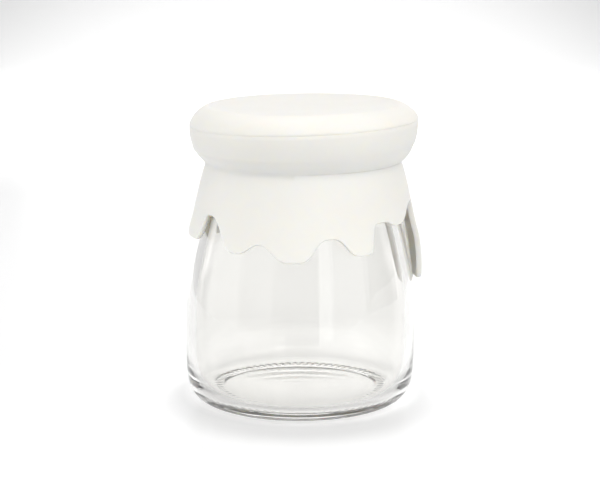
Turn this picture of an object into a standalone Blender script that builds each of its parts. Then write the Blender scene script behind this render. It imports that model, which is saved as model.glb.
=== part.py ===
"""A small glass dessert jar under a one-piece silicone lid whose skirt is moulded as dripping cream.

Metres, +Z up. The origin lies under the middle of the whole object, on the surface it stands on.
"""

import math

import bmesh
import bpy
from mathutils import Vector
from mathutils.geometry import interpolate_bezier

MM = 0.001

# ---- where the two pieces stand ----
JAR_AXIS_X = -0.30 * MM  # the lid was pushed on a little off the jar's axis
LID_AXIS_X = 0.12 * MM
BORE_AXIS_X = 0.05 * MM  # the inside of the lid is pulled back towards the jar
SIDE_LEAN = math.tan(math.radians(0.45))  # both pieces lean a little to the right
UPRIGHT_Z = 18.0 * MM  # at this height the axes are where the three values above say

# ---- glass jar ----
JAR_SIDES = 72
BODY_RADIUS = 28.5 * MM
WALL = 2.4 * MM
THICK_EXTRA = 0.9 * MM  # more glass gathers in the shoulder, centred on THICK_Z
THICK_Z = 43.0 * MM
THICK_REACH = 20.0 * MM
PUNT_RADIUS = 19.0 * MM  # the shallow hollow under the base
PUNT_HEIGHT = 0.5 * MM
BEARING_INNER = 20.0 * MM  # the flat ring that the jar stands on
HEEL_WIDTH = 6.5 * MM
HEEL_HEIGHT = 12.0 * MM
HEEL_SQUARENESS = 3.0  # 2 is an ellipse, more is boxier
SHOULDER_Z = 17.5 * MM  # above this height the wall leans inwards, first on a wide arc
LOW_SHOULDER_ARC = 126.0 * MM
LOW_SHOULDER_TURN = math.radians(9.0)
SHOULDER_ARC = 74.6 * MM  # and then on a tighter one
SHOULDER_TURN = math.radians(19.0)
NECK_ARC = 27.8 * MM  # the hollow curve that stands the wall up again
NECK_TOP_Z = 60.3 * MM
LIP_RADIUS = 24.4 * MM  # the rolled lip that the lid snaps over
LIP_UNDERSIDE_Z = 63.0 * MM
LIP_SHOULDER_Z = 67.0 * MM
LIP_TOP_Z = 69.3 * MM
MOUTH_RADIUS = 20.2 * MM
FLOOR_Z = 2.4 * MM  # the inside floor, at its middle
FLOOR_CORNER_WIDTH = 5.6 * MM
FLOOR_CORNER_HEIGHT = 10.5 * MM

# ---- silicone lid, heights as on a lid that sits level ----
LID_COLUMNS = 144
LID_WALL = 1.35 * MM
LEAN_X = math.tan(math.radians(0.75))  # the lid sits higher on the right
LEAN_Y = math.tan(math.radians(0.5))  # and at the back
DISH_Z = 72.3 * MM
CREST_RADIUS = 23.2 * MM
CREST_Z = 73.2 * MM
RIM_RADIUS = 27.9 * MM
PARTING_Z = 68.8 * MM  # the mould's parting line, a fine groove round the rim
PARTING_DEPTH = 0.25 * MM
PARTING_HALF = 0.25 * MM
PARTING_LEAN = math.tan(math.radians(1.2))  # the groove runs more askew than the lid
BULGE_FOOT_Z = 65.5 * MM
CREASE_RADIUS = 24.05 * MM
CREASE_FLARE = 0.45 * MM  # the skirt curves out of the crease by this much more than a cone
CREASE_PINCH = 0.4 * MM  # and the wall is this much thinner in the crease
CREASE_REACH = 3.0 * MM
CREASE_Z = 59.3 * MM
CREASE_EASE = 0.5 * MM  # the skirt drops straight for this much before it widens
SKIRT_SLOPE = 0.215  # how fast the skirt widens on its way down
SKIRT_ARC_Z = 41.0 * MM  # below this height the skirt curves upright
SKIRT_ARC = 47.7 * MM
INSIDE_TOP_Z = LIP_TOP_Z + 0.3 * MM  # clear of the lip by a hair
INSIDE_CORNER = 2.2 * MM
EDGE_ROUND = 0.45 * MM

# The lower edge of the skirt turns at each of these: (azimuth in degrees from the front towards
# +X, height in mm, middle, steepness). Middle and steepness shape the flank up to the next turn:
# where along it half of the height is gone, and how sudden the change is.
EDGE_TURNS = (
    (-72.0, 42.2, 0.69, 3.7),
    (-56.6, 48.4, 0.53, 2.0),
    (-34.3, 40.8, 0.52, 1.8),
    (-21.6, 43.2, 0.45, 1.9),
    (-5.6, 39.3, 0.57, 2.4),
    (13.6, 44.5, 0.53, 2.0),
    (28.6, 40.2, 0.50, 6.0),
    (45.0, 47.0, 0.44, 2.4),
    (57.0, 45.6, 0.42, 2.3),
    (81.0, 49.7, 0.50, 6.0),
    (100.0, 28.9, 0.55, 2.6),
    (119.0, 47.5, 0.45, 2.2),
    (136.0, 41.0, 0.52, 2.2),
    (152.0, 45.5, 0.48, 2.0),
    (170.0, 38.5, 0.55, 2.4),
    (190.0, 46.5, 0.47, 2.0),
    (207.0, 41.5, 0.52, 2.0),
    (222.0, 45.0, 0.46, 2.0),
    (241.0, 39.6, 0.55, 3.0),
    (259.0, 47.6, 0.50, 2.2),
)

# Two drips curl off the cone of the skirt at their tips: (azimuth, half width, both in degrees,
# how far the tip stands out in mm, the height in mm where it starts to).
CURLS = ((-75.0, 24.0, 0.55, 47.0), (95.0, 22.0, 0.35, 45.0))
CURL_DROP = 5.0 * MM


def arc(centre, radius, start, end, steps):
    """Points on a circle in the (radius, height) plane, both ends included; angles in radians."""
    turns = [start + (end - start) * i / steps for i in range(steps + 1)]
    return [(centre[0] + radius * math.cos(a), centre[1] + radius * math.sin(a)) for a in turns]


def bezier(start, start_handle, end_handle, end, steps):
    """Points on a Bezier stretch in the (radius, height) plane, both ends included."""
    knots = [Vector((*knot, 0.0)) for knot in (start, start_handle, end_handle, end)]
    return [(point.x, point.y) for point in interpolate_bezier(*knots, steps + 1)]


def squared_quarter(corner, width, height, squareness, steps):
    """A quarter of a superellipse that rises from its lowest point to its widest one."""
    power = 2.0 / squareness
    points = []
    for i in range(steps + 1):
        angle = math.pi / 2 * i / steps
        out = math.sin(angle) ** power
        down = max(math.cos(angle), 0.0) ** power
        points.append((corner[0] - width * (1 - out), corner[1] + height * (1 - down)))
    return points


def shoulder_profile(radius, lean_steps, neck_steps):
    """The wall from the body up to the neck: two arcs leaning in, and a short one back upright."""
    low = arc((radius - LOW_SHOULDER_ARC, SHOULDER_Z), LOW_SHOULDER_ARC, 0.0, LOW_SHOULDER_TURN, lean_steps)
    tighter = LOW_SHOULDER_ARC - SHOULDER_ARC
    centre_r = radius - LOW_SHOULDER_ARC + tighter * math.cos(LOW_SHOULDER_TURN)
    centre_z = SHOULDER_Z + tighter * math.sin(LOW_SHOULDER_TURN)
    high = arc((centre_r, centre_z), SHOULDER_ARC, LOW_SHOULDER_TURN, SHOULDER_TURN, lean_steps)
    reach = SHOULDER_ARC + NECK_ARC
    centre = (centre_r + reach * math.cos(SHOULDER_TURN), centre_z + reach * math.sin(SHOULDER_TURN))
    neck = arc(centre, NECK_ARC, math.pi + SHOULDER_TURN, math.pi, neck_steps)
    return low + high[1:] + neck[1:]


def thickened(points):
    """The inside wall, drawn in where the shoulder's glass gathers."""
    made = []
    for radius, z in points:
        near = min(abs(z - THICK_Z) / THICK_REACH, 1.0)
        made.append((radius - THICK_EXTRA * math.cos(near * math.pi / 2) ** 2, z))
    return made


def jar_profile():
    """(radius, height) from the middle of the underside, round the outside, to the inside floor."""
    underside = [(0.0, PUNT_HEIGHT), (PUNT_RADIUS * 0.6, PUNT_HEIGHT * 0.9)]
    underside += [(PUNT_RADIUS, PUNT_HEIGHT * 0.65), (BEARING_INNER, 0.0)]
    heel = squared_quarter((BODY_RADIUS, 0.0), HEEL_WIDTH, HEEL_HEIGHT, HEEL_SQUARENESS, 6)
    outside = shoulder_profile(BODY_RADIUS, 3, 3)
    neck_radius = outside[-1][0]
    lip_drop = LIP_TOP_Z - LIP_SHOULDER_Z
    lip = [(neck_radius, NECK_TOP_Z), (LIP_RADIUS - 0.5 * MM, LIP_UNDERSIDE_Z - 1.0 * MM)]
    lip += [(LIP_RADIUS, LIP_UNDERSIDE_Z)]
    lip += arc((LIP_RADIUS - lip_drop, LIP_SHOULDER_Z), lip_drop, 0.0, math.pi / 2, 2)
    lip += [(MOUTH_RADIUS + 0.8 * MM, LIP_TOP_Z - 0.6 * MM), (MOUTH_RADIUS, LIP_SHOULDER_Z)]
    inside = thickened(shoulder_profile(BODY_RADIUS - WALL, 2, 2))[::-1]
    corner = (BODY_RADIUS - WALL, FLOOR_Z + 0.3 * MM)
    floor = squared_quarter(corner, FLOOR_CORNER_WIDTH, FLOOR_CORNER_HEIGHT, HEEL_SQUARENESS, 4)[::-1]
    return underside + heel + outside + lip + inside + floor + [(0.0, FLOOR_Z)]


def edge_height(azimuth):
    """Height of the skirt's lower edge at an azimuth in degrees."""
    azimuth = (azimuth - EDGE_TURNS[0][0]) % 360.0 + EDGE_TURNS[0][0]
    following = EDGE_TURNS[1:] + ((EDGE_TURNS[0][0] + 360.0,) + EDGE_TURNS[0][1:],)
    for (start, high, middle, steepness), (end, low, _, _) in zip(EDGE_TURNS, following):
        if azimuth <= end:
            along = ((azimuth - start) / (end - start)) ** (math.log(0.5) / math.log(middle))
            rise = along**steepness
            eased = rise / (rise + (1.0 - along) ** steepness)
            return (high + (low - high) * eased) * MM
    raise ValueError("azimuth outside the table")


def skirt_radius(z):
    """Outer radius of the skirt at a height: a cone that curves upright at its foot."""
    if z >= SKIRT_ARC_Z:
        below = max(CREASE_Z - z, 0.0)
        flare = CREASE_FLARE * (1.0 - math.exp(-below / CREASE_REACH))
        return CREASE_RADIUS + flare + SKIRT_SLOPE * max(below - CREASE_EASE, 0.0)
    turn = math.atan(SKIRT_SLOPE)
    foot_z = SKIRT_ARC_Z - SKIRT_ARC * math.sin(turn)
    foot_radius = skirt_radius(SKIRT_ARC_Z) + SKIRT_ARC * (1 - math.cos(turn))
    above_foot = max(z - foot_z, 0.0)
    return foot_radius - SKIRT_ARC + math.sqrt(SKIRT_ARC**2 - above_foot**2)


def skirt_wall(z):
    """Thickness of the skirt at a height: thinner where the crease pinches it."""
    return LID_WALL - CREASE_PINCH * math.exp(-max(CREASE_Z - z, 0.0) / CREASE_REACH)


def curl(azimuth, z):
    """How far a drip's tip stands off the cone of the skirt, at an azimuth in degrees."""
    out = 0.0
    for centre, half, most, start in CURLS:
        away = (azimuth - centre + 180.0) % 360.0 - 180.0
        side = max(0.0, 1.0 - (away / half) ** 2)
        down = min(max((start * MM - z) / CURL_DROP, 0.0), 1.0)
        out += most * MM * side * down * down * (3.0 - 2.0 * down)
    return out


def lid_outside():
    """(radius, height) from the middle of the dished top down to the crease under the bulge."""
    dish = [(0.0, DISH_Z)]
    dish += bezier(
        (CREST_RADIUS * 0.5, DISH_Z), (CREST_RADIUS * 0.7, DISH_Z),
        (CREST_RADIUS * 0.88, DISH_Z + 0.2 * MM), (CREST_RADIUS, CREST_Z), 2,
    )
    rim = bezier(
        (CREST_RADIUS, CREST_Z), (CREST_RADIUS + 2.2 * MM, CREST_Z - 0.25 * MM),
        (RIM_RADIUS - 0.1 * MM, CREST_Z - 2.8 * MM), (RIM_RADIUS, PARTING_Z + PARTING_HALF), 4,
    )
    parting = [(RIM_RADIUS - PARTING_DEPTH, PARTING_Z)]
    bulge = bezier(
        (RIM_RADIUS, PARTING_Z - PARTING_HALF), (RIM_RADIUS + 0.05 * MM, PARTING_Z - 4.5 * MM),
        (CREASE_RADIUS + 2.5 * MM, CREASE_Z + 2.0 * MM), (CREASE_RADIUS, CREASE_Z), 5,
    )
    return dish + rim[1:] + parting + bulge


def lid_inside():
    """(radius, height) of the hollow, from the crease up to the middle of the top's underside."""
    wide = RIM_RADIUS - LID_WALL
    hollow = [(CREASE_RADIUS - skirt_wall(CREASE_Z), CREASE_Z)]
    hollow += [(wide - 1.35 * MM, BULGE_FOOT_Z - 3.4 * MM), (wide - 0.1 * MM, BULGE_FOOT_Z)]
    hollow += [(wide - 0.1 * MM, INSIDE_TOP_Z - INSIDE_CORNER)]
    return hollow + [(wide - INSIDE_CORNER, INSIDE_TOP_Z), (0.0, INSIDE_TOP_Z)]


def ring(radius, z, columns, centre_x):
    """One level ring of points, or a single one on the axis."""
    if radius == 0.0:
        return [(centre_x, 0.0, z)]
    turns = [math.tau * i / columns for i in range(columns)]
    return [(centre_x + radius * math.sin(a), -radius * math.cos(a), z) for a in turns]


def askew(points, extra=0.0):
    """The same points with the lean of a lid that sits askew."""
    return [(x, y, z + (LEAN_X + extra) * x + LEAN_Y * y) for x, y, z in points]


def skirt_ring(share, depth, lift, centre_x):
    """One ring of the skirt, at a share of the way down and a share of the way into its wall."""
    points = []
    for i in range(LID_COLUMNS):
        angle = math.tau * i / LID_COLUMNS
        edge = edge_height(math.degrees(angle)) + lift
        z = CREASE_Z + (edge - CREASE_Z) * share
        radius = skirt_radius(z) + curl(math.degrees(angle), z) - skirt_wall(z) * depth
        points.append((centre_x + radius * math.sin(angle), -radius * math.cos(angle), z))
    return askew(points)


def lid_rings():
    """The rings of the whole lid, in order from the top's middle round to its underside."""
    rings = []
    for radius, z in lid_outside():
        near_parting = max(0.0, 1.0 - abs(z - PARTING_Z) / (4.0 * MM))
        rings.append(askew(ring(radius, z, LID_COLUMNS, LID_AXIS_X), PARTING_LEAN * near_parting))
    for share in (0.1, 0.35, 0.6, 0.82, 1.0):
        rings.append(skirt_ring(share, 0.0, EDGE_ROUND, LID_AXIS_X))
    middle_x = (LID_AXIS_X + BORE_AXIS_X) / 2
    rings.append(skirt_ring(1.0, 0.5, 0.0, middle_x))
    for share in (1.0, 0.65, 0.3):
        rings.append(skirt_ring(share, 1.0, EDGE_ROUND, BORE_AXIS_X))
    hollow = lid_inside()
    rings.append(askew(ring(*hollow[0], LID_COLUMNS, BORE_AXIS_X)))
    rings += [ring(radius, z, LID_COLUMNS, BORE_AXIS_X) for radius, z in hollow[1:]]
    return rings


def leaning(point):
    """The same point with the lean that both pieces share."""
    x, y, z = point
    return (x + SIDE_LEAN * (z - UPRIGHT_Z), y, z)


def skinned(name, rings, material):
    """A closed smooth-shaded object whose surface runs from the first ring to the last."""
    mesh = bpy.data.meshes.new(name)
    shape = bmesh.new()
    loops = [[shape.verts.new(leaning(point)) for point in points] for points in rings]
    for one, two in zip(loops, loops[1:]):
        count = max(len(one), len(two))
        for i in range(count):
            j = (i + 1) % count
            corners = [one[i % len(one)], one[j % len(one)], two[j % len(two)], two[i % len(two)]]
            shape.faces.new(list(dict.fromkeys(corners)))
    bmesh.ops.recalc_face_normals(shape, faces=shape.faces)
    shape.to_mesh(mesh)
    shape.free()
    mesh.shade_smooth()
    mesh.set_sharp_from_angle(angle=math.radians(30.0))
    mesh.materials.append(material)
    made = bpy.data.objects.new(name, mesh)
    bpy.context.scene.collection.objects.link(made)
    return made


def material(name, colour, roughness, transmission=0.0, ior=1.45):
    """A plain Principled material."""
    made = bpy.data.materials.new(name)
    made.use_nodes = True
    shader = made.node_tree.nodes["Principled BSDF"]
    shader.inputs["Base Color"].default_value = (*colour, 1.0)
    shader.inputs["Roughness"].default_value = roughness
    shader.inputs["Metallic"].default_value = 0.0
    shader.inputs["Transmission Weight"].default_value = transmission
    shader.inputs["IOR"].default_value = ior
    return made


def make_jar():
    """The pressed-glass jar: thick base, straight body, sloping shoulder, neck and rolled lip."""
    glass = material("clear_glass", (0.95, 0.96, 0.95), 0.02, transmission=1.0, ior=1.52)
    rings = [ring(radius, z, JAR_SIDES, JAR_AXIS_X) for radius, z in jar_profile()]
    return skinned("jar", rings, glass)


def make_lid():
    """The soft lid: dished top, rounded bulge over the jar's lip, crease, and dripping skirt."""
    silicone = material("white_silicone", (0.86, 0.85, 0.82), 0.55)
    return skinned("lid", lid_rings(), silicone)


for old in list(bpy.data.objects):
    bpy.data.objects.remove(old)
make_jar()
make_lid()
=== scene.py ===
# %% [markdown]
# # A dessert jar under a dripping-cream lid
#
# The object is two things: a small clear jar of pressed glass, and a soft white silicone lid
# that snaps over the jar's lip. The lid's skirt is moulded to look like cream running down.
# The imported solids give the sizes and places. This lesson makes the surfaces that are seen:
# a finely turned jar, a finely turned lid whose skirt is pulled into drips, and their finishes.

import math

import bmesh
import bpy
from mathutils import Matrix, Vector
from mathutils.geometry import interpolate_bezier


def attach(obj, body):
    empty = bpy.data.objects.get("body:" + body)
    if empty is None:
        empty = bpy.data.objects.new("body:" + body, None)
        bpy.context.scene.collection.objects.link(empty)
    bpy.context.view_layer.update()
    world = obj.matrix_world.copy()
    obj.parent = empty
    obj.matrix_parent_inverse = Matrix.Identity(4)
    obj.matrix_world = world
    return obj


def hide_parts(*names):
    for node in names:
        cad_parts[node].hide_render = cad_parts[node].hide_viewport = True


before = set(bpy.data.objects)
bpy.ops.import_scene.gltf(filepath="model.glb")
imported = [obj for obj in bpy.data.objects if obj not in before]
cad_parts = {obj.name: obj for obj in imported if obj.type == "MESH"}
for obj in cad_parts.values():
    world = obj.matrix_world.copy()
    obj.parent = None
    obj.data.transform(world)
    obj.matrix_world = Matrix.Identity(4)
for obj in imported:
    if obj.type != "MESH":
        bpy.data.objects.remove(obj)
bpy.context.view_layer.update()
MM = 0.001
TINY = 0.01 * MM  # two places nearer than this count as one

# %% [markdown]
# ## Camera
#
# The camera comes first, because everything else is judged through it. A long lens about
# 0.4 m away keeps the jar's sides nearly upright, and still shows the top as a narrow ellipse
# and the base as a wider one.

# %% Add the camera
AIM = Vector((-0.4 * MM, 0.0, 36.8 * MM))
CAMERA_DISTANCE = 400.0 * MM
CAMERA_PITCH = math.radians(11.26)
CAMERA_LENS = 96.84  # mm, on a sensor 36 mm wide

back = Vector((0.0, -math.cos(CAMERA_PITCH), math.sin(CAMERA_PITCH)))
bpy.ops.object.select_all(action="DESELECT")
bpy.ops.object.camera_add(
    location=AIM + back * CAMERA_DISTANCE, rotation=(math.pi / 2 - CAMERA_PITCH, 0.0, 0.0)
)
camera = bpy.context.object
camera.name = "camera"
camera.data.lens = CAMERA_LENS
camera.data.clip_start = 10.0 * MM
bpy.context.scene.camera = camera
print("camera at", [round(v, 3) for v in camera.location])

# %% [markdown]
# ## Turning a piece on a lathe of rings
#
# Both pieces are round, so both start as a circle of points. The circle is extruded again and
# again, each time lifted to the next height and scaled to the next radius, until the rings
# have gone all the way round the wall: up the outside, over the rim and down the inside. A
# Spin of a drawn profile would give the same surface. Rings are used because each one is still
# a ring afterwards, so a stretch of the wall is easy to find again and reshape.

# %% A lathe
def start_ring(name, sides, radius, z, axis_x):
    """A filled circle, left in edit mode with only its rim selected."""
    bpy.ops.object.select_all(action="DESELECT")
    bpy.ops.mesh.primitive_circle_add(
        vertices=sides, radius=radius, fill_type="TRIFAN", location=(axis_x, 0.0, z)
    )
    piece = bpy.context.object
    piece.name = piece.data.name = name
    bpy.ops.object.transform_apply(location=True, rotation=False, scale=False)
    bpy.ops.object.mode_set(mode="EDIT")
    bpy.ops.mesh.select_all(action="SELECT")
    bpy.ops.mesh.region_to_loop()
    return piece


def turn(name, sides, axis_x, profile):
    """A closed piece turned round a vertical axis from (radius, height) points, in object mode."""
    (radius, z), *rest = profile
    piece = start_ring(name, sides, radius, z, axis_x)
    for next_radius, next_z in rest:
        bpy.ops.mesh.extrude_edges_move(TRANSFORM_OT_translate={"value": (0.0, 0.0, next_z - z)})
        grow = next_radius / radius
        bpy.ops.transform.resize(value=(grow, grow, 1.0), center_override=(axis_x, 0.0, next_z))
        radius, z = next_radius, next_z
    bpy.ops.mesh.edge_face_add()
    bpy.ops.mesh.poke()
    bpy.ops.mesh.select_all(action="SELECT")
    bpy.ops.mesh.normals_make_consistent(inside=False)
    bpy.ops.object.mode_set(mode="OBJECT")
    print(name, "has", len(piece.data.vertices), "points in", len(profile), "rings")
    return piece


# %% [markdown]
# ## Stretches of a profile
#
# A profile is drawn from three kinds of stretch: arcs, Bezier curves and straight lines, like a
# mould maker's drawing. It could be one long list of points. Stretches are used because each
# has its own few sizes, and a size can be changed without drawing the rest again.

# %% Arcs, curves and straight lines
def arc(centre, radius, start, end, steps):
    """(radius, height) points on a circle, both ends included; angles in radians."""
    turns = [start + (end - start) * i / steps for i in range(steps + 1)]
    return [(centre[0] + radius * math.cos(a), centre[1] + radius * math.sin(a)) for a in turns]


def bezier(start, start_handle, end_handle, end, steps):
    """(radius, height) points on a Bezier stretch, both ends included."""
    knots = [Vector((*knot, 0.0)) for knot in (start, start_handle, end_handle, end)]
    return [(point.x, point.y) for point in interpolate_bezier(*knots, steps + 1)]


def straight(start, end, steps):
    """(radius, height) points on a straight stretch, without its first point."""
    shares = [i / steps for i in range(1, steps + 1)]
    return [(start[0] + (end[0] - start[0]) * s, start[1] + (end[1] - start[1]) * s) for s in shares]


halfway = arc((0.0, 0.0), 10.0 * MM, 0.0, math.pi / 2, steps=2)[1]
print("halfway round a quarter of 10 mm:", [round(v / MM, 2) for v in halfway], "mm")

# %% [markdown]
# ## The glass jar: what it stands on
#
# A jar like this is blown and pressed in a mould. A shallow hollow under its floor leaves a flat
# ring for it to stand on, because a ring stands steadier than a whole disc. The hollow could be
# a plain cone. Bezier stretches are used, because hot glass leaves no sharp corner. The heel is
# a squarish curve, so it is a quarter of a superellipse: one number says how square it is.

# %% Draw the underside and the heel
JAR_AXIS_X = -0.30 * MM
BODY_RADIUS = 28.5 * MM
POLE_RADIUS = 1.0 * MM
PUNT_RADIUS = 18.4 * MM
PUNT_HEIGHT = 0.35 * MM
BEARING_INNER = 20.6 * MM
HEEL_WIDTH = 6.5 * MM
HEEL_HEIGHT = 12.0 * MM
HEEL_SQUARENESS = 3.0
BEARING_OUTER = BODY_RADIUS - HEEL_WIDTH


def squared_quarter(corner, width, height, squareness, steps):
    """A quarter of a superellipse that rises from its lowest point to its widest one."""
    power = 2.0 / squareness
    points = []
    for i in range(steps + 1):
        angle = math.pi / 2 * i / steps
        out = math.sin(angle) ** power
        down = max(math.cos(angle), 0.0) ** power
        points.append((corner[0] - width * (1 - out), corner[1] + height * (1 - down)))
    return points


punt = bezier(
    (POLE_RADIUS, PUNT_HEIGHT), (PUNT_RADIUS * 0.5, PUNT_HEIGHT),
    (PUNT_RADIUS * 0.8, PUNT_HEIGHT * 0.8), (PUNT_RADIUS, PUNT_HEIGHT * 0.65), steps=8,
)
slope = (PUNT_RADIUS * 1.045, PUNT_HEIGHT * 0.6), (BEARING_INNER * 0.95, 0.0)
punt += bezier(punt[-1], *slope, (BEARING_INNER, 0.0), steps=8)[1:]
bearing = straight(punt[-1], (BEARING_OUTER, 0.0), steps=6)
heel = squared_quarter((BODY_RADIUS, 0.0), HEEL_WIDTH, HEEL_HEIGHT, HEEL_SQUARENESS, steps=20)[1:]
print("it stands on a ring from", round(BEARING_INNER / MM, 1), "to", round(BEARING_OUTER / MM, 1), "mm")

# %% [markdown]
# ## The glass jar: body and shoulder
#
# The body goes straight up. The shoulder leans in on two long arcs, before a short hollow arc
# stands the wall up again at the neck. A smooth curve through a few points would look much the
# same. Arcs are used because each starts at the slope where the last one ends, so a reflection
# runs over the joint with no kink. It is a function, because the inside repeats the curve.

# %% Draw the body and the shoulder
SHOULDER_Z = 17.5 * MM
LOW_SHOULDER_ARC = 126.0 * MM
LOW_SHOULDER_TURN = math.radians(9.0)
SHOULDER_ARC = 74.6 * MM
SHOULDER_TURN = math.radians(19.0)
NECK_ARC = 27.8 * MM


def shoulder(radius, steps):
    """The wall from the body up to the neck: two arcs leaning in, and a short one back upright."""
    low = arc((radius - LOW_SHOULDER_ARC, SHOULDER_Z), LOW_SHOULDER_ARC, 0.0, LOW_SHOULDER_TURN, steps)
    tighter = LOW_SHOULDER_ARC - SHOULDER_ARC
    centre = (
        radius - LOW_SHOULDER_ARC + tighter * math.cos(LOW_SHOULDER_TURN),
        SHOULDER_Z + tighter * math.sin(LOW_SHOULDER_TURN),
    )
    high = arc(centre, SHOULDER_ARC, LOW_SHOULDER_TURN, SHOULDER_TURN, steps // 2)
    reach = SHOULDER_ARC + NECK_ARC
    centre = (centre[0] + reach * math.cos(SHOULDER_TURN), centre[1] + reach * math.sin(SHOULDER_TURN))
    return low + high[1:] + arc(centre, NECK_ARC, math.pi + SHOULDER_TURN, math.pi, steps // 2)[1:]


body = straight(heel[-1], (BODY_RADIUS, SHOULDER_Z), steps=4)[:-1]
outside = shoulder(BODY_RADIUS, steps=18)
print("the neck is", round(2 * outside[-1][0] / MM, 1), "mm across")

# %% [markdown]
# ## The glass jar: the rolled lip
#
# The lip is a bead of glass that stands out from the neck, and it is what the lid snaps over. It
# could be a torus pushed into the neck. Here it is one more stretch of the profile, because
# glass has to be a single skin: a surface left inside the wall would bend the light again.

# %% Draw the lip
NECK_TOP_Z = 60.3 * MM
LIP_RADIUS = 24.4 * MM
LIP_UNDERSIDE_Z = 63.0 * MM
LIP_SHOULDER_Z = 67.0 * MM
LIP_TOP_Z = 69.3 * MM
MOUTH_RADIUS = 20.2 * MM

lip_drop = LIP_TOP_Z - LIP_SHOULDER_Z
neck = (outside[-1][0], NECK_TOP_Z)
lip = bezier(
    neck, (neck[0], NECK_TOP_Z + 1.4 * MM),
    (LIP_RADIUS, LIP_UNDERSIDE_Z - 1.6 * MM), (LIP_RADIUS, LIP_UNDERSIDE_Z), steps=8,
)
lip += arc((LIP_RADIUS - lip_drop, LIP_SHOULDER_Z), lip_drop, 0.0, math.pi / 2, steps=8)
lip += bezier(
    (LIP_RADIUS - lip_drop - 0.4 * MM, LIP_TOP_Z), (MOUTH_RADIUS + 0.5 * MM, LIP_TOP_Z),
    (MOUTH_RADIUS, LIP_TOP_Z - 0.8 * MM), (MOUTH_RADIUS, LIP_SHOULDER_Z), steps=8,
)
print("the lip stands out", round((LIP_RADIUS - neck[0]) / MM, 1), "mm")

# %% [markdown]
# ## The glass jar: the inside
#
# The inside follows the outside at the wall's thickness, and meets the floor in a wide round
# corner. A Solidify modifier could make it, but with one thickness all over. Blown glass is
# uneven, and the eye reads that from how the wall bends what is behind it, so the inside has a
# profile of its own: it is drawn in a little where the glass gathers at the shoulder.

# %% Draw the inside and turn the jar
WALL = 2.4 * MM
THICK_EXTRA = 0.9 * MM
THICK_Z = 43.0 * MM
THICK_REACH = 20.0 * MM
FLOOR_Z = 2.4 * MM
FLOOR_DISH = 0.3 * MM
FLOOR_CORNER_WIDTH = 5.6 * MM
FLOOR_CORNER_HEIGHT = 10.5 * MM
JAR_SIDES = 360


def thickened(points):
    """The inside wall, drawn in where the shoulder's glass gathers."""
    made = []
    for radius, z in points:
        near = min(abs(z - THICK_Z) / THICK_REACH, 1.0)
        made.append((radius - THICK_EXTRA * math.cos(near * math.pi / 2) ** 2, z))
    return made


inside = thickened(shoulder(BODY_RADIUS - WALL, steps=18))[::-1]
corner = (BODY_RADIUS - WALL, FLOOR_Z + FLOOR_DISH)
floor = squared_quarter(corner, FLOOR_CORNER_WIDTH, FLOOR_CORNER_HEIGHT, HEEL_SQUARENESS, steps=16)[::-1]
floor_radius, floor_edge_z = floor[-1]
floor += bezier(
    floor[-1], (floor_radius * 0.7, floor_edge_z),
    (floor_radius * 0.4, FLOOR_Z), (POLE_RADIUS, FLOOR_Z), steps=8,
)[1:]
jar_outside = punt + bearing + heel + body + outside + lip
jar_glass = turn("jar_glass", JAR_SIDES, JAR_AXIS_X, jar_outside + inside + floor)

# %% [markdown]
# ## The glass jar: ticks under the base
#
# The ring that a jar stands on is never smooth. The mould cuts a row of short ticks into it, so
# that hot glass doesn't slide and cold glass doesn't seize on a wet shelf. From above they show
# through the base as a broken ring of little dark and bright dashes. They could be drawn in the
# material, but then they would bend no light. So each tick is a few columns of the bearing ring
# left standing, and the columns between them are lifted a little.

# %% Lift the glass between the ticks
TICKS = 72
TICK_SHARE = 0.55  # how much of each pitch is glass that touches the table
TICK_DEPTH = 0.10 * MM
TICK_INNER = 19.3 * MM
TICK_OUTER = 21.9 * MM
SMOOTH_BELOW = math.radians(50.0)


def between_ticks(point):
    """True for a point of the bearing ring that lies in a gap between two ticks."""
    radius = math.hypot(point.x - JAR_AXIS_X, point.y)
    pitch = math.atan2(point.y, point.x - JAR_AXIS_X) / math.tau * TICKS % 1.0
    return point.z < TINY and TICK_INNER < radius < TICK_OUTER and pitch > TICK_SHARE


bpy.ops.object.mode_set(mode="EDIT")
bpy.ops.mesh.select_all(action="DESELECT")
shape = bmesh.from_edit_mesh(jar_glass.data)
for vert in shape.verts:
    vert.select = between_ticks(vert.co)
shape.select_flush(True)
bmesh.update_edit_mesh(jar_glass.data)
bpy.ops.transform.translate(value=(0.0, 0.0, TICK_DEPTH))
bpy.ops.object.mode_set(mode="OBJECT")
bpy.ops.object.shade_smooth_by_angle(angle=SMOOTH_BELOW)
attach(jar_glass, "root")
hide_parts("jar")
print("points lifted between ticks:", sum(vert.select for vert in jar_glass.data.vertices))

# %% [markdown]
# ## The silicone lid: top and bulge
#
# The lid is one soft moulding. Its top is slightly dished inside a raised rounded rim. A fine
# parting line runs round the rim where the two halves of the mould met. Under it the wall
# swells over the jar's lip and pinches into a crease below it. A bevelled cylinder could stand
# for the rim, but its round would be the same above and below. Bezier stretches let the top
# roll over quickly and the bulge sink slowly, and one ring set in makes the parting line.

# %% Draw the top and the bulge
LID_AXIS_X = 0.12 * MM
DISH_Z = 72.3 * MM
CREST_RADIUS = 23.2 * MM
CREST_Z = 73.2 * MM
RIM_RADIUS = 27.9 * MM
PARTING_Z = 68.8 * MM
PARTING_DEPTH = 0.15 * MM
PARTING_HALF = 0.22 * MM
CREASE_RADIUS = 24.05 * MM
CREASE_Z = 59.3 * MM

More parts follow.
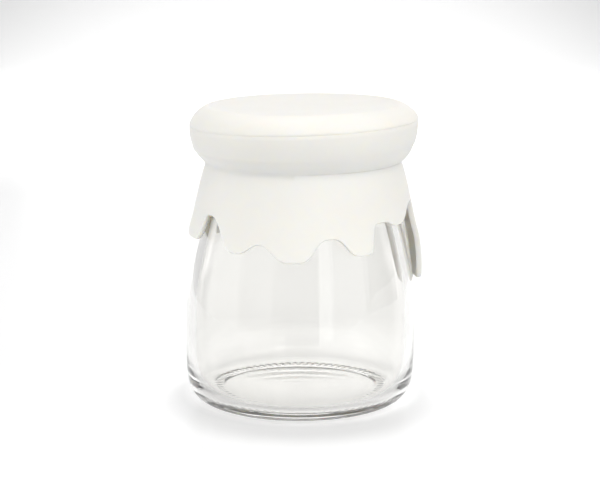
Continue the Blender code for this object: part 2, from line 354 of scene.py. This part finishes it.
dish = bezier(
    (POLE_RADIUS, DISH_Z), (CREST_RADIUS * 0.6, DISH_Z),
    (CREST_RADIUS * 0.88, DISH_Z + 0.2 * MM), (CREST_RADIUS, CREST_Z), steps=12,
)
rim = bezier(
    (CREST_RADIUS, CREST_Z), (CREST_RADIUS + 2.2 * MM, CREST_Z - 0.25 * MM),
    (RIM_RADIUS - 0.1 * MM, CREST_Z - 2.8 * MM), (RIM_RADIUS, PARTING_Z + PARTING_HALF), steps=12,
)[1:]
parting = [(RIM_RADIUS - PARTING_DEPTH, PARTING_Z)]
bulge = bezier(
    (RIM_RADIUS, PARTING_Z - PARTING_HALF), (RIM_RADIUS + 0.05 * MM, PARTING_Z - 4.5 * MM),
    (CREASE_RADIUS + 2.5 * MM, CREASE_Z + 2.0 * MM), (CREASE_RADIUS, CREASE_Z), steps=16,
)
print("the rim stands", round((RIM_RADIUS - CREASE_RADIUS) / MM, 2), "mm out from the crease")

# %% [markdown]
# ## The silicone lid: the skirt before it drips
#
# Below the crease the wall widens into the skirt. Drips could be modelled one by one and joined
# on. It is simpler to turn a plain skirt with a level edge first, and to pull its edge down
# afterwards. So the cone is a rule: it gives the outer radius at any height, flaring out of the
# crease and curving upright at its foot, and the drips will follow the same rule further down.

# %% Draw the plain skirt
LID_WALL = 1.35 * MM
CREASE_FLARE = 0.45 * MM
CREASE_PINCH = 0.4 * MM
CREASE_REACH = 3.0 * MM
CREASE_EASE = 0.5 * MM
SKIRT_SLOPE = 0.215
SKIRT_ARC_Z = 41.0 * MM
SKIRT_ARC = 47.7 * MM
PLAIN_EDGE_Z = 40.0 * MM
EDGE_ROUND = 0.45 * MM
EDGE_STEPS = 8


def skirt_radius(z):
    """Outer radius of the skirt at a height: a cone that curves upright at its foot."""
    if z >= SKIRT_ARC_Z:
        below = max(CREASE_Z - z, 0.0)
        flare = CREASE_FLARE * (1.0 - math.exp(-below / CREASE_REACH))
        return CREASE_RADIUS + flare + SKIRT_SLOPE * max(below - CREASE_EASE, 0.0)
    tilt = math.atan(SKIRT_SLOPE)
    foot_z = SKIRT_ARC_Z - SKIRT_ARC * math.sin(tilt)
    foot_radius = skirt_radius(SKIRT_ARC_Z) + SKIRT_ARC * (1 - math.cos(tilt))
    above_foot = max(z - foot_z, 0.0)
    return foot_radius - SKIRT_ARC + math.sqrt(SKIRT_ARC**2 - above_foot**2)


def skirt_wall(z):
    """Thickness of the skirt at a height: thinner where the crease pinches it."""
    return LID_WALL - CREASE_PINCH * math.exp(-max(CREASE_Z - z, 0.0) / CREASE_REACH)


def skirt_side(depth, steps):
    """One side of the skirt from below the crease to its rounded edge; depth 0 is outside, 1 inside."""
    drop = CREASE_Z - PLAIN_EDGE_Z - EDGE_ROUND
    heights = [CREASE_Z - drop * i / steps for i in range(1, steps + 1)]
    return [(skirt_radius(z) - skirt_wall(z) * depth, z) for z in heights]


edge_centre = skirt_radius(PLAIN_EDGE_Z) - LID_WALL / 2
skirt_edge = [
    (edge_centre + LID_WALL / 2 * math.cos(a), PLAIN_EDGE_Z + EDGE_ROUND - EDGE_ROUND * math.sin(a))
    for a in (math.pi * i / EDGE_STEPS for i in range(1, EDGE_STEPS))
]
skirt = skirt_side(0.0, steps=16) + skirt_edge + skirt_side(1.0, steps=10)[::-1]
print("the plain edge is", round(2 * skirt_radius(PLAIN_EDGE_Z) / MM, 1), "mm across")

# %% [markdown]
# ## The silicone lid: the hollow over the lip
#
# Inside, the lid is hollowed to go round the jar's lip, with a little room above it. Nobody
# sees that, and the lid could be a bare sheet. The hollow is drawn all the same, because light
# goes into silicone, and a bare sheet has no inside for it to go into.

# %% Draw the hollow and turn the lid
BULGE_FOOT_Z = 65.5 * MM
INSIDE_TOP_Z = LIP_TOP_Z + 0.3 * MM
INSIDE_CORNER = 2.2 * MM
LID_SIDES = 720

wide = RIM_RADIUS - LID_WALL
hollow = bezier(
    (CREASE_RADIUS - skirt_wall(CREASE_Z), CREASE_Z), (CREASE_RADIUS + 0.9 * MM, CREASE_Z + 1.9 * MM),
    (wide, BULGE_FOOT_Z - 2.0 * MM), (wide - 0.1 * MM, BULGE_FOOT_Z), steps=8,
)
hollow += arc(
    (wide - INSIDE_CORNER, INSIDE_TOP_Z - INSIDE_CORNER), INSIDE_CORNER, 0.0, math.pi / 2, steps=4
)
hollow += straight(hollow[-1], (POLE_RADIUS, INSIDE_TOP_Z), steps=4)
lid_outside = dish + rim + parting + bulge + skirt
lid_silicone = turn("lid_silicone", LID_SIDES, LID_AXIS_X, lid_outside + hollow)

# %% [markdown]
# ## The silicone lid: the line of the drips
#
# Cream runs down in a few broad lobes and one long run, with round notches between them. The
# line could be a curve drawn by hand and wrapped round the lid. Here a short table names each
# turn of the edge, high or low, and an easing curve joins one turn to the next, so that each
# lobe can be lengthened, moved or squared by one number.

# %% Draw the line of the drips
# (azimuth in degrees from the front towards +X, height in mm, middle, steepness)
EDGE_TURNS = (
    (-72.0, 42.2, 0.69, 3.7),
    (-56.6, 48.4, 0.53, 2.0),
    (-34.3, 40.8, 0.52, 1.8),
    (-21.6, 43.2, 0.45, 1.9),
    (-5.6, 39.3, 0.57, 2.4),
    (13.6, 44.5, 0.53, 2.0),
    (28.6, 40.2, 0.50, 6.0),
    (45.0, 47.0, 0.44, 2.4),
    (57.0, 45.6, 0.42, 2.3),
    (81.0, 49.7, 0.50, 6.0),
    (100.0, 28.9, 0.55, 2.6),
    (119.0, 47.5, 0.45, 2.2),
    (136.0, 41.0, 0.52, 2.2),
    (152.0, 45.5, 0.48, 2.0),
    (170.0, 38.5, 0.55, 2.4),
    (190.0, 46.5, 0.47, 2.0),
    (207.0, 41.5, 0.52, 2.0),
    (222.0, 45.0, 0.46, 2.0),
    (241.0, 39.6, 0.55, 3.0),
    (259.0, 47.6, 0.50, 2.2),
)


def edge_height(azimuth):
    """Height of the skirt's lower edge at an azimuth in degrees."""
    azimuth = (azimuth - EDGE_TURNS[0][0]) % 360.0 + EDGE_TURNS[0][0]
    following = EDGE_TURNS[1:] + ((EDGE_TURNS[0][0] + 360.0,) + EDGE_TURNS[0][1:],)
    for (start, high, middle, steepness), (end, low, _, _) in zip(EDGE_TURNS, following):
        if azimuth <= end:
            along = ((azimuth - start) / (end - start)) ** (math.log(0.5) / math.log(middle))
            rise = along**steepness
            eased = rise / (rise + (1.0 - along) ** steepness)
            return (high + (low - high) * eased) * MM
    raise ValueError("azimuth outside the table")


print("the edge in front is", round(edge_height(0.0) / MM, 1), "mm up")

# %% [markdown]
# ## The silicone lid: pulling the skirt down
#
# By hand this would be proportional editing, one drip at a time. Here every point of the skirt
# keeps its share of the way down and its depth in the wall while the edge under it moves, so
# the wall stays one thickness and its edge stays round. The tips at the two sides of the lid
# also curl out a little, as thin rubber does.

# %% Pull down the drips
# (azimuth in degrees, half width in degrees, how far the tip curls out in mm, where it starts in mm)
CURLS = ((-75.0, 24.0, 0.55, 47.0), (95.0, 22.0, 0.35, 45.0))
CURL_RUN = 5.0 * MM


def curl(azimuth, z):
    """How far a drip's tip stands off the cone of the skirt."""
    out = 0.0
    for centre, half, most, start in CURLS:
        side = max(0.0, 1.0 - ((azimuth - centre) / half) ** 2)
        down = min(max((start * MM - z) / CURL_RUN, 0.0), 1.0)
        out += most * MM * side * down * down * (3.0 - 2.0 * down)
    return out


def drip(point):
    """Where a point of the plain skirt ends up."""
    x, y = point.x - LID_AXIS_X, point.y
    radius = math.hypot(x, y)
    azimuth = math.degrees(math.atan2(x, -y))
    edge = edge_height(azimuth)
    plain_top = PLAIN_EDGE_Z + EDGE_ROUND
    share = min((CREASE_Z - point.z) / (CREASE_Z - plain_top), 1.0)
    z = CREASE_Z + (edge + EDGE_ROUND - CREASE_Z) * share + min(point.z - plain_top, 0.0)
    inset = skirt_radius(max(point.z, PLAIN_EDGE_Z)) - radius
    grow = (skirt_radius(z) + curl(azimuth, z) - inset) / radius
    return Vector((LID_AXIS_X + x * grow, y * grow, z))


for vert in lid_silicone.data.vertices:
    if vert.co.z < CREASE_Z - TINY:
        vert.co = drip(vert.co)
lid_silicone.data.update()
print("lowest drip:", round(min(vert.co.z for vert in lid_silicone.data.vertices) / MM, 1), "mm")

# %% [markdown]
# ## Everything a little askew
#
# A soft lid never sits quite level. This one is nearly half a millimetre off the jar's axis and
# rides three quarters of a degree higher on the right and half a degree higher at the back, and
# its parting line runs a little more askew still. The hollow inside stays with the jar, so it
# doesn't cut into the lip. The blown jar leans too: above its heel it runs half a degree to
# the right, and the lid goes with it. Turning the objects would be simpler, but would lift one
# side of the jar's foot off the table, so the points are slid instead, each by how high it is.

# %% Lean the lid and the jar
LEAN_X = math.tan(math.radians(0.75))
LEAN_Y = math.tan(math.radians(0.5))
PARTING_LEAN = math.tan(math.radians(1.2))
PARTING_REACH = 4.0 * MM
BORE_SHIFT_X = -0.07 * MM
BORE_DEPTH = LID_WALL * 0.6  # a point deeper in the lid than this belongs to its inside
SIDE_LEAN = math.tan(math.radians(0.45))
UPRIGHT_Z = 18.0 * MM


def inside_hollow(point):
    """True for the faces that point down and in, over the jar's lip."""
    radius = math.hypot(point.x - LID_AXIS_X, point.y)
    within = radius < RIM_RADIUS - LID_WALL + TINY
    return within and CREASE_Z + TINY < point.z <= INSIDE_TOP_Z + TINY


for vert in lid_silicone.data.vertices:
    x, y, z = vert.co
    radius = math.hypot(x - LID_AXIS_X, y)
    outer = skirt_radius(z) if z < CREASE_Z else RIM_RADIUS
    if z < DISH_Z - TINY and radius < outer - BORE_DEPTH:
        vert.co.x += BORE_SHIFT_X
    if not inside_hollow(vert.co):
        near_parting = max(0.0, 1.0 - abs(z - PARTING_Z) / PARTING_REACH)
        vert.co.z += (LEAN_X + PARTING_LEAN * near_parting) * x + LEAN_Y * y
for piece in (jar_glass, lid_silicone):
    for vert in piece.data.vertices:
        vert.co.x += SIDE_LEAN * (vert.co.z - UPRIGHT_Z)
    piece.data.update()
bpy.ops.object.select_all(action="DESELECT")
lid_silicone.select_set(True)
bpy.context.view_layer.objects.active = lid_silicone
bpy.ops.object.shade_smooth_by_angle(angle=SMOOTH_BELOW)
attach(lid_silicone, "root")
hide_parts("lid")
print("top of the lid:", round(max(vert.co.z for vert in lid_silicone.data.vertices) / MM, 2), "mm")

# %% [markdown]
# ## Finishes: a way to write shader nodes
#
# A finish is a small graph of nodes in front of one Principled shader. Written out in full,
# each node takes a line for itself, one for each number and one for each wire. This helper
# makes a node, sets its numbers and draws its wires in one go, so that a recipe reads from top
# to bottom.

# %% A node in one line
def principled(name):
    """A new material and its Principled shader."""
    made = bpy.data.materials.new(name)
    made.use_nodes = True
    return made, made.node_tree.nodes["Principled BSDF"]


def add_node(material, kind, inputs, **settings):
    """A new node; each of its inputs is given a value or wired to another node's output."""
    node = material.node_tree.nodes.new(kind)
    for key, value in settings.items():
        setattr(node, key, value)
    for key, value in inputs.items():
        if isinstance(value, bpy.types.NodeSocket):
            material.node_tree.links.new(value, node.inputs[key])
        else:
            node.inputs[key].default_value = value
    return node


def dress(piece, material):
    """Gives the piece this one material and says how many nodes it has."""
    piece.data.materials.clear()
    piece.data.materials.append(material)
    print(material.name, "has", len(material.node_tree.nodes), "nodes")


# %% [markdown]
# ## Finishes: noise, spread over a range
#
# Nothing moulded is quite even, and both finishes get their unevenness from soft noise. A
# painted texture could give it too, but it would need a seam somewhere round the jar. Noise is
# solid: it fills space, so a round piece cut out of it has no seam. It is laid out in the piece's
# own coordinates, in metres, and a second node spreads it over a range of numbers or of colours.

# %% Noise and its range
def noise(material, scale, detail, stretch=(1.0, 1.0, 1.0)):
    """Soft noise in the piece's own coordinates; scale is in cycles a metre."""
    place = add_node(material, "ShaderNodeTexCoord", {}).outputs["Object"]
    if stretch != (1.0, 1.0, 1.0):
        place = add_node(material, "ShaderNodeMapping", {"Vector": place, "Scale": stretch}).outputs["Vector"]
    cloud = add_node(material, "ShaderNodeTexNoise", {"Vector": place, "Scale": scale, "Detail": detail})
    return cloud.outputs["Fac"]


def spread(material, value, low, high, start=0.3, end=0.7):
    """Noise spread over a range of numbers, or of colours."""
    if isinstance(low, tuple):
        share = add_node(material, "ShaderNodeMapRange", {"Value": value, "From Min": start, "From Max": end})
        mixer = add_node(material, "ShaderNodeMix", {"Factor": share.outputs["Result"]}, data_type="RGBA")
        for socket, colour in zip([i for i in mixer.inputs if i.type == "RGBA"], (low, high)):
            socket.default_value = (*colour, 1.0)
        return next(o for o in mixer.outputs if o.type == "RGBA")
    numbers = {"Value": value, "From Min": start, "From Max": end, "To Min": low, "To Max": high}
    return add_node(material, "ShaderNodeMapRange", numbers).outputs["Result"]


def two_bumps(material, broad, broad_height, fine, fine_height):
    """A normal bent by a broad noise first and by a fine one on top of it."""
    under = {"Strength": 1.0, "Distance": broad_height, "Height": broad}
    bent = add_node(material, "ShaderNodeBump", under).outputs["Normal"]
    over = {"Strength": 1.0, "Distance": fine_height, "Height": fine, "Normal": bent}
    return add_node(material, "ShaderNodeBump", over).outputs["Normal"]


# %% [markdown]
# ## Finishes: white silicone
#
# Silicone rubber is not painted: its white goes all the way through, and light goes a
# millimetre or two into it. That softens the shade in the crease and lets the thin skirt glow
# where light falls on its other side, so the shader is all subsurface. The pigment is never
# quite even, so two creams are mixed by a slow noise. The lid sags by a few hundredths of a
# millimetre as it cools, and the mould was blasted, which leaves a fine grain. Both are bumps,
# and the grain drives the roughness too.

# %% White silicone
SILICONE_LIGHT = (0.865, 0.850, 0.808)
SILICONE_DEEP = (0.850, 0.834, 0.790)
PIGMENT_SCALE = 70.0
GRAIN_SCALE = 2600.0
GRAIN_HEIGHT = 0.006 * MM
SAG_SCALE = 110.0
SAG_HEIGHT = 0.04 * MM
MATTE = (0.46, 0.56)
LIGHT_DEPTH = 1.5 * MM

silicone, shader = principled("white_silicone_finish")
tie = silicone.node_tree.links.new
pigment = noise(silicone, PIGMENT_SCALE, 3.0)
tie(spread(silicone, pigment, SILICONE_DEEP, SILICONE_LIGHT), shader.inputs["Base Color"])
grain = noise(silicone, GRAIN_SCALE, 2.0)
tie(spread(silicone, grain, *MATTE), shader.inputs["Roughness"])
sag = noise(silicone, SAG_SCALE, 1.0)
tie(two_bumps(silicone, sag, SAG_HEIGHT, grain, GRAIN_HEIGHT), shader.inputs["Normal"])
shader.inputs["Subsurface Weight"].default_value = 1.0
shader.inputs["Subsurface Radius"].default_value = (1.0, 0.9, 0.7)
shader.inputs["Subsurface Scale"].default_value = LIGHT_DEPTH
dress(lid_silicone, silicone)

# %% [markdown]
# ## Finishes: clear glass
#
# Glass is all transmission. What makes it look like a cheap pressed jar and not like a lens is
# that its skin is never flat: it chilled against an iron mould. A slow noise, stretched
# upwards because the glass was drawn that way, bends each reflection by a fraction of a degree,
# so their edges waver. A second, finer one gives the little swirls. Light that goes through the
# jar crosses four skins, and each one takes a little away and leaves it a trace warmer.

# %% Clear glass
GLASS_CLEAR = (0.903, 0.900, 0.886)
GLASS_DEEP = (0.893, 0.889, 0.872)
GATHER_SCALE = 30.0
CHILL_SCALE = 48.0
CHILL_HEIGHT = 0.080 * MM
CHILL_STRETCH = (1.0, 1.0, 0.45)
SWIRL_SCALE = 210.0
SWIRL_HEIGHT = 0.008 * MM
SWIRL_STRETCH = (1.0, 1.0, 0.6)

glass, shader = principled("clear_glass_finish")
tie = glass.node_tree.links.new
gather = noise(glass, GATHER_SCALE, 1.0)
tie(spread(glass, gather, GLASS_DEEP, GLASS_CLEAR), shader.inputs["Base Color"])
chill = noise(glass, CHILL_SCALE, 1.0, CHILL_STRETCH)
swirl = noise(glass, SWIRL_SCALE, 2.0, SWIRL_STRETCH)
tie(two_bumps(glass, chill, CHILL_HEIGHT, swirl, SWIRL_HEIGHT), shader.inputs["Normal"])
shader.inputs["Roughness"].default_value = 0.0
shader.inputs["IOR"].default_value = 1.5
shader.inputs["Transmission Weight"].default_value = 1.0
dress(jar_glass, glass)

# %% [markdown]
# ## The stage: a sweep of white paper
#
# A studio shot of a jar is taken on a long sheet of paper that lies flat, bends up behind and
# stands as the wall, so no line shows where the floor ends. It is one plane whose back edge is
# extruded round the bend and then straight up. The sheet is narrow in front and ends not far
# before the jar: upright glass seen from a little above mirrors the floor in front of it, and
# beyond the sheet's end the upper half of the jar mirrors the dark room and its panels instead.

# %% Lay the sheet
SWEEP_FRONT = 0.11
SWEEP_BACK = 0.8
FRONT_HALF = 0.13
BACK_HALF = 0.45
SHEET_Z = -0.1 * MM

bpy.ops.object.select_all(action="DESELECT")
bpy.ops.mesh.primitive_plane_add(size=1.0, location=(0.0, 0.0, 0.0))
paper_sweep = bpy.context.object
paper_sweep.name = "paper_sweep"
bpy.ops.object.mode_set(mode="EDIT")
bpy.ops.mesh.select_all(action="SELECT")
bpy.ops.transform.resize(
    value=(2 * BACK_HALF, SWEEP_FRONT + SWEEP_BACK, 1.0), center_override=(0.0, 0.0, 0.0)
)
bpy.ops.transform.translate(value=(0.0, (SWEEP_BACK - SWEEP_FRONT) / 2, SHEET_Z))
print("sheet:", 2 * BACK_HALF, "x", SWEEP_FRONT + SWEEP_BACK, "m")

# %% [markdown]
# ## The stage: the bend behind
#
# The bend is a quarter circle, so that the light on it changes slowly. A Bevel on the corner
# of a floor and a wall would do as well. Extruding is used, because the front edge has to be
# picked and narrowed anyway, and the back edge is picked in the same way.

# %% Bend the sheet up
SWEEP_BEND = 0.25
SWEEP_WALL = 0.6
BEND_STEPS = 16


def select_across(front):
    """Selects the sheet's front edge, or its back one."""
    bpy.ops.mesh.select_all(action="DESELECT")
    sheet = bmesh.from_edit_mesh(paper_sweep.data)
    for edge in sheet.edges:
        edge.select = all((vert.co.y < 0.0) == front for vert in edge.verts)
    sheet.select_flush(True)
    bmesh.update_edit_mesh(paper_sweep.data)


select_across(front=True)
bpy.ops.transform.resize(value=(FRONT_HALF / BACK_HALF, 1.0, 1.0), center_override=(0.0, 0.0, 0.0))
select_across(front=False)
for step in range(BEND_STEPS):
    before = math.pi / 2 * step / BEND_STEPS
    after = math.pi / 2 * (step + 1) / BEND_STEPS
    out = SWEEP_BEND * (math.sin(after) - math.sin(before))
    rise = SWEEP_BEND * (math.cos(before) - math.cos(after))
    bpy.ops.mesh.extrude_edges_move(TRANSFORM_OT_translate={"value": (0.0, out, rise)})
bpy.ops.mesh.extrude_edges_move(TRANSFORM_OT_translate={"value": (0.0, 0.0, SWEEP_WALL)})
bpy.ops.object.mode_set(mode="OBJECT")
bpy.ops.object.shade_smooth()
print("paper:", len(paper_sweep.data.polygons), "strips")

# %% [markdown]
# ## The stage: evenly glowing paper, with painted pools of light and shade
#
# To keep the ground white without flooding the jar, the paper's own material glows a little,
# evenly. Pools of glow are painted on top of that: painted light under the jar, so that its
# foot isn't a dark ring; a weaker pool of painted light just behind, which fills the shadow that
# the lid throws there; and a wide one far behind, which keeps the top of the render white. Round
# the foot the glow is painted down: a painted shadow that draws the rim of clear glass and makes
# the soft shadow there deeper. Each is a soft round pool round its own point of the paper.

# %% White paper
PAPER_WHITE = 0.80
GLOW = 0.225
# centre, how far it keeps its full strength and where it has faded out, all in metres; extra glow, painted
# light above zero and painted shadow below it
PAINTED_POOLS = {
    "painted_light_under_jar": ((0.0, 0.002, 0.0), 0.0225, 0.031, 0.56),
    "painted_shadow_round_foot": ((0.0, -0.004, 0.0), 0.028, 0.041, -0.225),
    "painted_light_behind_jar": ((0.0, 0.024, 0.0), 0.016, 0.075, 0.28),
    "painted_light_far_behind": ((0.0, 0.70, 0.05), 0.22, 0.42, 0.38),
}

paper, shader = principled("white_paper")
shader.inputs["Base Color"].default_value = (PAPER_WHITE, PAPER_WHITE, PAPER_WHITE, 1.0)
shader.inputs["Roughness"].default_value = 0.25
shader.inputs["Emission Color"].default_value = (1.0, 1.0, 1.0, 1.0)
place = add_node(paper, "ShaderNodeTexCoord", {}).outputs["Object"]
glow = GLOW
# each pool adds painted light to the paper's glow; the one with a negative extra paints shadow
for centre, near, far, extra in PAINTED_POOLS.values():
    away = add_node(paper, "ShaderNodeVectorMath", {0: place, 1: centre}, operation="DISTANCE")
    fade = {"Value": away.outputs["Value"], "From Min": near, "From Max": far, "To Min": extra, "To Max": 0.0}
    pool = add_node(paper, "ShaderNodeMapRange", fade, interpolation_type="SMOOTHSTEP")
    glow = add_node(paper, "ShaderNodeMath", {0: glow, 1: pool.outputs["Result"]}, operation="ADD")
    glow = glow.outputs["Value"]
paper.node_tree.links.new(glow, shader.inputs["Emission Strength"])
dress(paper_sweep, paper)

# %% [markdown]
# ## The stage: upright panels
#
# Glass shows almost nothing of its own, only what it mirrors, so the bands on the jar are a
# picture of what stands round it. One big window of light would leave one big patch. Low upright
# panels make the picture instead: a wide one each side of the camera, a gap of nearly dark room
# straight ahead, and one tall bright strip a little to the right. Each panel is an area light
# whose power is worked out from how bright its face is, so that a level of 1 means as bright as
# white paper in full light.

# %% Stand the panels
ROOM_LEVEL = 0.08
PANEL_LOW = -0.25
PANEL_HIGH = 0.40
PANEL_DISTANCE = 0.7
STRIP_HIGH = 0.8
# azimuths in degrees from the front towards +X, level, top
PANELS = {
    "left_panel": (-64.0, -28.5, 0.65, PANEL_HIGH),
    "dark_gap": (-28.5, 18.0, 0.25, PANEL_HIGH),
    "bright_strip": (18.0, 32.0, 1.5, STRIP_HIGH),
    "right_panel": (32.0, 71.0, 0.75, PANEL_HIGH),
    "far_left_panel": (-112.0, -64.0, 1.2, PANEL_HIGH),
    "back_left_panel": (-160.0, -112.0, 0.68, PANEL_HIGH),
    "back_right_panel": (118.0, 165.0, 0.95, PANEL_HIGH),
    "horizon_panel": (165.0, 195.0, 0.35, PANEL_HIGH),
}

world = bpy.data.worlds.new("studio")
bpy.context.scene.world = world
world.use_nodes = True
world.node_tree.nodes["Background"].inputs["Color"].default_value = (1.0, 1.0, 1.0, 1.0)
world.node_tree.nodes["Background"].inputs["Strength"].default_value = ROOM_LEVEL


def soft_light(name, azimuth, distance, height, size, level, aim_z):
    """A rectangular area light at an azimuth from the front, turned to the jar's axis."""
    turned = math.radians(azimuth)
    where = Vector((distance * math.sin(turned), -distance * math.cos(turned), height))
    bpy.ops.object.light_add(type="AREA", location=where)
    light = bpy.context.object
    light.name = name
    light.data.shape = "RECTANGLE"
    light.data.size, light.data.size_y = size
    light.data.energy = level * math.pi * size[0] * size[1]
    light.rotation_euler = (Vector((0.0, 0.0, aim_z)) - where).to_track_quat("-Z", "Y").to_euler()


def stand_panel(name, start, end, level, top):
    """An upright panel that fills the view from the jar between two azimuths."""
    width = 2 * PANEL_DISTANCE * math.tan(math.radians(end - start) / 2)
    middle = (PANEL_LOW + top) / 2
    soft_light(name, (start + end) / 2, PANEL_DISTANCE, middle, (width, top - PANEL_LOW), level, middle)


for name, (start, end, level, top) in PANELS.items():
    stand_panel(name, start, end, level, top)
print("panels cover", sum(end - start for start, end, _, _ in PANELS.values()), "of 360 degrees")

# %% [markdown]
# ## The stage: softboxes
#
# Upright glass seen from a little above never mirrors anything high up, so softboxes over the
# camera light the lid without leaving a mark on the jar's wall. The right is a little stronger
# than the left, which gives the lid its form. One more hangs high behind: the jar stands in
# its way, and that draws the thin grey shadow in front of the base, which the shadow painted
# into the paper round the foot makes deeper.

# %% Hang the softboxes
SOFTBOX = (0.7, 0.5)
AIM_Z = 0.04
NEAR = (0.62, 0.62)  # how far from the jar's axis, and how high, in metres
HIGH = (0.30, 0.82)
# azimuth in degrees from the front towards +X, place, level
SOFTBOXES = {
    "front_softbox": (0.0, NEAR, 1.95),
    "front_left_softbox": (-50.0, NEAR, 0.65),
    "front_right_softbox": (50.0, NEAR, 1.8),
    "right_softbox": (100.0, NEAR, 0.5),
    "left_softbox": (-100.0, NEAR, 0.5),
    "high_front_softbox": (0.0, HIGH, 1.0),
    "high_back_softbox": (180.0, HIGH, 1.5),
}

for name, (azimuth, (distance, height), level) in SOFTBOXES.items():
    soft_light(name, azimuth, distance, height, SOFTBOX, level, AIM_Z)
lamps = [lamp for lamp in bpy.context.scene.objects if lamp.type == "LIGHT"]
print("lights:", len(lamps))

# %% [markdown]
# ## Render settings
#
# A ray that looks through a lidded jar crosses many skins of glass, and one that runs out of
# bounces comes back black, so the limits are raised. Blender's default view rolls bright tones
# off to grey. The Standard view is used instead, because it keeps white paper white.

# %% Set the bounces and the view
scene = bpy.context.scene
scene.cycles.max_bounces = 32
scene.cycles.glossy_bounces = 24
scene.cycles.transmission_bounces = 32
scene.cycles.transparent_max_bounces = 16
scene.view_settings.view_transform = "Standard"
scene.view_settings.look = "None"
print("bounces:", scene.cycles.max_bounces, "view:", scene.view_settings.view_transform)
